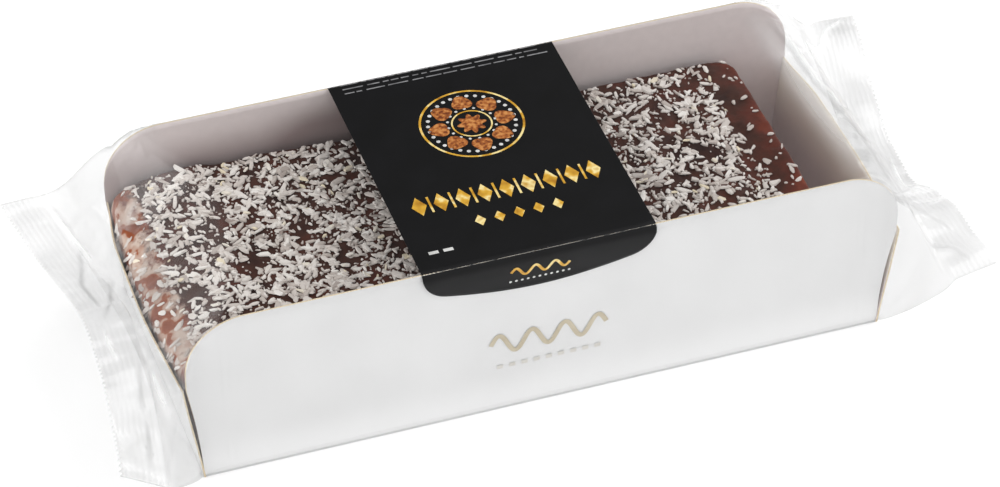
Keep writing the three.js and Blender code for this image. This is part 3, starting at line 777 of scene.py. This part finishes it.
def film_marks(side, out, y, reach, t, wave, rough, large):
    """How much milk the film shows, and its tone. It is hazy past the end walls and whitish on
    crimps, with painted glints, painted shade in a large crease's valley and a painted highlight on its
    crest."""
    pressed = crimped(reach)
    if side < 0:
        haze, fin_tone = 1.3, 0.3 * pressed
    else:
        haze = 1.0 + 0.35 * smooth(y, -20, 20) + 0.25 * pressed * smooth(y, -40, 0)
        fin_tone = 0.12 * pressed * (1 - smooth(y, -30, 10))
    glints = sum(share * along_line(out, y, line, width) for share, width, line in PAINTED_GLINTS[side])
    milky = CLEAR_MILK + smooth(reach, *HAZY) * (HAZE_MILK + 0.03 * waves(out, y, 15, 54)) * haze
    milky = milky + 0.04 * rough + 0.02 * wave
    milky = milky + (sum(share * near for _, share, near in large) + glints) * (t == 0)
    # Painted light: the tone brightens along glints and crests and darkens in valleys
    tone = np.clip(0.25 + fin_tone + 1.4 * glints, 0, 1)
    for height, _, near in large:
        tone = mix(tone, np.clip(0.5 + height, 0, 1), near)
    return np.stack([np.clip(milky, 0.01, 0.85), tone])


def film_half(side):
    """One half of the bag as a grid of loops, and its marks. A loop runs back over the top, down
    the back side, forward under the base and up the front side. Creases lift the top and, by
    less, press the underside down. A fin's two layers lie a gap apart, wave slowly and are pressed
    into fine ridges. Its cut edge is a zig-zag: every other corner stands back."""
    fin = FINS[side]
    reach = film_stations()[:, None]
    top_a = np.linspace(-1, 1, FILM_COLUMNS)
    side_t = np.linspace(0, 1, FILM_ROWS + 2)[1:-1]
    a = np.concatenate([top_a, np.ones(len(side_t)), top_a[::-1], -np.ones(len(side_t))])[None, :]
    t = np.concatenate([0 * top_a, side_t, 0 * top_a + 1, side_t[::-1]])[None, :]
    y, z = bag_surface(side, reach, a, t)
    inward = fin["hollow"] * (1 - a**2) + fin["skew"] * (1 - a) / 2
    out = reach - inward * np.clip((reach - HOLLOW_START) / HOLLOW_RUN, 0, 1) ** 2
    lift, rough, large = film_creases(side, out, y, reach)
    z = z + lift * np.where(t < 0.5, 1.0, -0.4) * np.where((t > 0) & (t < 1), 0.3, 1.0)
    pressed = crimped(reach)
    wave = np.sin(2 * np.pi * reach / CRIMP_PITCH) * pressed * (0.6 + 0.4 * waves(out * 0.3, y, 12, 53))
    apart = LAYER_GAP * (0.5 - t) * smooth(reach, GAP_START, FIN_START) * (reach < FIN_REACH)
    slack = 0.9 * waves(y, reach * 0 + side * 40, 26, 51) + 0.25 * waves(y, reach * 0.3, 6, 52)
    z = z + CRIMP_HEIGHT * wave + apart + pressed * slack
    tooth = np.round((a + 1) * (FILM_COLUMNS - 1) / 2) % 2
    out = out - TOOTH * tooth * smooth(reach, FIN_REACH - 1.6, FIN_REACH)
    marks = film_marks(side, out, y, reach, t, wave, rough, large)
    return np.stack(np.broadcast_arrays(side * out, y, z), axis=-1), marks


def film_bag():
    """Both halves joined in the middle into one closed bag, whose fins' last loops are pressed
    shut."""
    left, left_marks = film_half(-1)
    right, right_marks = film_half(1)
    points = np.concatenate([left[::-1], right[1:]])
    milky, tone = np.concatenate([left_marks[:, ::-1], right_marks[:, 1:]], axis=1)
    points[..., 2] = np.clip(points[..., 2], FILM_FLOOR, LABEL_TOP)
    grid_shape = points.shape[:2]
    points = points.reshape(-1, 3)
    faces = turned_outwards(points, weave(*grid_shape, closed=True))
    weld(mesh_piece("film_bag", points, faces, clear_film, "film", milky=milky, tone=tone))


film_bag()


# ---- Label ----
def label_line():
    """The label's outer line across the pack, as rows of distance, y and z from the front flap's
    end to the back one's. Distance is 0 in the middle of the front bend. A flap runs down its
    wall, and stands off it by a bulge that shrinks with depth; a bend is an arc."""
    turns = np.linspace(0, np.pi / 2, 13)
    face = wall_face(LABEL_TOP - LABEL_FOLD) + LABEL_BULGE
    arc_y = face - LABEL_FOLD + LABEL_FOLD * np.cos(turns)
    arc_z = LABEL_TOP - LABEL_FOLD + LABEL_FOLD * np.sin(turns)

    def flap(end):
        z = np.linspace(end, LABEL_TOP - LABEL_FOLD, 24)[:-1]
        off = LABEL_BULGE * smooth(z, LABEL_TOP - LABEL_FOLD - 14, LABEL_TOP - LABEL_FOLD)
        return wall_face(z) + np.maximum(off, 0.3), z

    front_y, front_z = flap(LABEL_FRONT_END)
    back_y, back_z = flap(LABEL_BACK_END)
    top_y = np.linspace(-arc_y[-1], arc_y[-1], 40)[1:-1]
    top_z = LABEL_TOP - 0.15 * (1 - (top_y / arc_y[-1]) ** 2)
    y = np.concatenate([-front_y, -arc_y, top_y, arc_y[::-1], back_y[::-1]])
    z = np.concatenate([front_z, arc_z, top_z, arc_z[::-1], back_z[::-1]])
    gone = np.concatenate([[0], np.cumsum(np.hypot(np.diff(y), np.diff(z)))])
    return gone - gone[len(front_y) + 6], y, z


LABEL_LINE = label_line()


def on_label(x, along, lift):
    """The point at a distance along the label's line, lifted off its outer face."""
    gone, line_y, line_z = LABEL_LINE
    y, z = np.interp(along, gone, line_y), np.interp(along, gone, line_z)
    step = 0.4
    dy = np.interp(along + step, gone, line_y) - np.interp(along - step, gone, line_y)
    dz = np.interp(along + step, gone, line_z) - np.interp(along - step, gone, line_z)
    size = np.hypot(dy, dz)
    return np.stack([x, y - lift * dz / size, z + lift * dy / size], axis=-1)


def label():
    """A grid over x and the label's line, whose ends are arcs with small round corners."""
    corner = LABEL_CORNER_RADIUS * (1 - np.sin(np.linspace(0, np.pi / 2, 9)))
    inner = np.linspace(-1, 1, 51) * (LABEL_HALF - LABEL_CORNER_RADIUS)
    across = np.concatenate([corner[::-1] - LABEL_HALF, inner[1:-1], LABEL_HALF - corner])
    into = np.clip(np.abs(across) - (LABEL_HALF - LABEL_CORNER_RADIUS), 0, LABEL_CORNER_RADIUS)
    rise = across**2 / (2 * LABEL_END_ARC) + LABEL_CORNER_RADIUS - np.sqrt(LABEL_CORNER_RADIUS**2 - into**2)
    share = np.linspace(0, 1, 170)
    first, last = LABEL_LINE[0][0] + rise, LABEL_LINE[0][-1] - rise
    along = first[:, None] + (last - first)[:, None] * share
    x = LABEL_MIDDLE + across[:, None] + 0 * along
    points = on_label(x, along, 0)
    grid_shape = points.shape[:2]
    points = points.reshape(-1, 3)
    faces = turned_outwards(points, weave(*grid_shape), np.array([0, -0.2, 1.0]))
    give_thickness(mesh_piece("label_band", points, faces, black_paper, "label"), LABEL_PAPER)


label()

PRINT_LIFT = 0.04


def strip(path, width):
    """A ribbon of quads along a path of (x, y) rows."""
    path = np.asarray(path, float)
    run = np.gradient(path, axis=0)
    side = np.stack([-run[:, 1], run[:, 0]], axis=-1) / np.linalg.norm(run, axis=1, keepdims=True)
    off = side * width / 2
    return np.stack([path + off, path - off], axis=1).reshape(-1, 2), weave(len(path), 2)


def star(x, y, radius, points, depth=0.0, turn=0.0):
    """A fan of quads round (x, y), from its middle out to radius * (1 - depth * (1 - cos)/2)."""
    angle = np.linspace(0, 2 * np.pi, max(8 * points, 24), endpoint=False)
    edge = radius * (1 - depth * (1 - np.cos(points * angle)) / 2)
    ring = np.stack([x + edge * np.cos(angle + turn), y + edge * np.sin(angle + turn)], axis=-1)
    core = mix(np.array([x, y]), ring, 0.02)
    return np.concatenate([core, ring]), weave(2, len(angle), closed=True)


def lozenge(x, y, width, height):
    """A diamond as one quad, which stands on a corner."""
    corners = np.array([[x - width / 2, y], [x, y - height / 2], [x + width / 2, y], [x, y + height / 2]])
    return corners, np.array([[0, 1, 2, 3]])


def printed(name, shapes, material, place, node, away):
    """Flat shapes, each (corners, faces), laid on a surface by place(x, along)."""
    corners, faces, count = [], [], 0
    for shape_corners, shape_faces in shapes:
        corners.append(shape_corners)
        faces.append(shape_faces + count)
        count += len(shape_corners)
    flat = np.concatenate(corners)
    points = place(flat[:, 0], flat[:, 1])
    mesh_piece(name, points, turned_outwards(points, np.concatenate(faces), away), material, node)


def curve(x0, x1, y, height, turns, count=90):
    """A wave from x0 to x1 about y, as a path."""
    x = np.linspace(x0, x1, count)
    return np.stack([x, y + height * np.sin((x - x0) / (x1 - x0) * turns * 2 * np.pi)], axis=-1)


def label_print():
    """A generic design: a rosette of brown petals and white dots in gold rings, two rows of gold
    lozenges, fine rows of grey dashes at the back bend and a small wave on the front flap. Its
    places are x and the distance along the label's line."""
    m = LABEL_MIDDLE
    up = np.array([0, -0.3, 1.0])

    def on_band(x, along):
        return on_label(x, along, PRINT_LIFT)

    def ring(x, y, radius, width):
        angle = np.linspace(0, 2 * np.pi, 97)
        return strip(np.stack([x + radius * np.cos(angle), y + radius * np.sin(angle)], axis=-1), width)

    rosette = 62  # where its middle lies along the label's line
    gold = [ring(m, rosette, 15.6, 0.7), ring(m, rosette, 6.0, 0.5)]
    for i, x in enumerate(np.linspace(-27, 27, 9)):
        gold.append(lozenge(m + x, 30, 4.6, 8.6))
        if i:
            gold.append(strip([[m + x - 3.4, 26.4], [m + x - 3.4, 33.6]], 0.7))
    gold += [lozenge(m + x, 18.5, 3.4, 5.0) for x in np.linspace(-12, 12, 5)]
    gold.append(strip(curve(m - 9, m + 9, -5.6, 1.5, 3), 0.9))
    printed("label_print_gold", gold, gold_ink, on_band, "label", up)

    def circle_of(count, radius, *shape, turned=0):
        """Stars of this shape all round the rosette's middle, turned to point away from it or not."""
        around = np.arange(count) * 2 * np.pi / count
        places = [(a, m + radius * np.cos(a), rosette + radius * np.sin(a)) for a in around]
        return [star(x, y, *shape, turn=turned * a) for a, x, y in places]

    petals = circle_of(8, 10.2, 3.4, 3, 0.2, turned=1)
    printed("label_print_brown", petals + [star(m, rosette, 4.6, 8, 0.35)], brown_ink, on_band, "label", up)

    dots = circle_of(32, 13.2, 0.62, 3) + circle_of(16, 7.3, 0.45, 3)
    dots += [star(m + x, -9.4, 0.42, 3) for x in np.linspace(-9, 9, 11)]
    dots += [strip([[m + x, 9.0], [m + x + 3.0, 9.0]], 1.3) for x in (-31, -26.5)]
    printed("label_print_white", dots, white_ink, on_band, "label", up)

    random = np.random.default_rng(60)
    dashes = []
    for along in np.arange(87.6, 112, 2.1):
        x = LABEL_LOW[0] + 4
        while x < LABEL_HIGH[0] - 6:
            length = random.uniform(1.5, 6.5)
            dashes.append(strip([[x, along], [x + length, along]], 0.45))
            x += length + random.uniform(0.6, 1.4)
    printed("label_print_grey", dashes, grey_ink, on_band, "label", up)


label_print()


def wall_print():
    """A pale gold wave and a row of fine bars on the front wall, under the flap, by x and z."""

    def on_front(x, z):
        return np.stack([x, -(wall_face(z) + 0.03), z], axis=-1)

    front = np.array([0, -1.0, 0])
    wave = [strip(curve(-18, 18, 26, 3.4, 3.5, 160), 1.5)]
    printed("tray_print_gold", wave, dull_gold_ink, on_front, "tray", front)
    bars = [strip([[x, 17], [x + 1.9, 17]], 1.4) for x in np.linspace(-16, 14.5, 9)]
    printed("tray_print_pale", bars, pale_ink, on_front, "tray", front)


wall_print()

# ---- Camera, floor and light ----
# Camera fitted to the tray's straight edges in the photograph. Its place is in millimetres.
CAMERA_RIGHT = np.array([0.9462, -0.3237, 0.0])
CAMERA_UP = np.array([0.2096, 0.6127, 0.7621])
CAMERA_BACK = np.cross(CAMERA_RIGHT, CAMERA_UP)
CAMERA_PLACE = 0.226 * CAMERA_RIGHT + 18.734 * CAMERA_UP + 1302.2 * CAMERA_BACK
lens = bpy.data.cameras.new("camera")
lens.sensor_width = 36
lens.lens = 153.36
lens.clip_end = 20
camera = bpy.data.objects.new("camera", lens)
turned = np.eye(4)
turned[:3, :3] = np.stack([CAMERA_RIGHT, CAMERA_UP, CAMERA_BACK], axis=1)
turned[:3, 3] = CAMERA_PLACE * MM
camera.matrix_world = Matrix(turned.tolist())
bpy.context.collection.objects.link(camera)
bpy.context.scene.camera = camera

# White background paper, which glows faintly so that it shows white all over
paper_floor, tree, place = new_material("white background paper")
clouds = add(tree, "TexNoise", bumps(place, 300))
sheet = add(tree, "ValToRGB", {"Fac": clouds}, stops=[(0.3, "#FBFBFB"), (0.7, "#FDFDFD")])
dull = {"Base Color": sheet, "Roughness": 0.9, "Specular IOR Level": 0.1}
from_below = {"Emission Color": srgb("#FFFFFF"), "Emission Strength": 0.06}
add(tree, "OutputMaterial", {"Surface": add(tree, "BsdfPrincipled", {**dull, **from_below})})
floor_mesh = bpy.data.meshes.new("floor")
floor_mesh.from_pydata([(x, y, 0) for x, y in ((-6, -6), (6, -6), (6, 6), (-6, 6))], [], [(0, 1, 2, 3)])
floor_mesh.materials.append(paper_floor)
floor = bpy.data.objects.new("floor", floor_mesh)
bpy.context.collection.objects.link(floor)

# An evenly bright white room, dim only where the level label mirrors it to the camera
world = bpy.data.worlds.new("studio")
world.use_nodes = True
world.node_tree.nodes.clear()
DIM_SIDE = (0.2467, 0.7211, 0.6475)  # direction that a level face mirrors to the camera
tree = world.node_tree
direction = add(tree, "TexCoord", output="Generated")
facing = add(tree, "VectorMath", {0: direction, 1: DIM_SIDE}, "Value", operation="DOT_PRODUCT")
dimming = {"Value": facing, "From Min": 0.7, "From Max": 0.93, "To Min": 0.85, "To Max": 0.06}
strength = add(tree, "MapRange", dimming, interpolation_type="SMOOTHSTEP")
sky = add(tree, "Background", {"Color": srgb("#FFFFFF"), "Strength": strength})
add(tree, "OutputWorld", {"Surface": sky})
bpy.context.scene.world = world


def soft_light(name, place, aim, size, power):
    """A square area light at place, in metres, that looks at aim."""
    lamp = bpy.data.lights.new(name, "AREA")
    lamp.shape = "SQUARE"
    lamp.size = size
    lamp.energy = power
    made = bpy.data.objects.new(name, lamp)
    back = np.array(place) - np.array(aim)
    back = back / np.linalg.norm(back)
    right = np.cross([0, 1, 0.01], back)
    right = right / np.linalg.norm(right)
    turned = np.eye(4)
    turned[:3, :3] = np.stack([right, np.cross(back, right), back], axis=1)
    turned[:3, 3] = place
    made.matrix_world = Matrix(turned.tolist())
    bpy.context.collection.objects.link(made)


soft_light("left_light", (-1.13, 0, 0.41), (0, 0, 0.03), 1.3, 7.5)
soft_light("right_light", (1.02, 0.18, 0.6), (0, 0, 0.03), 1.3, 9.5)
soft_light("top_light", (0.05, -0.15, 1.5), (0, 0, 0), 1.1, 3)

bpy.context.scene.view_settings.view_transform = "Standard"
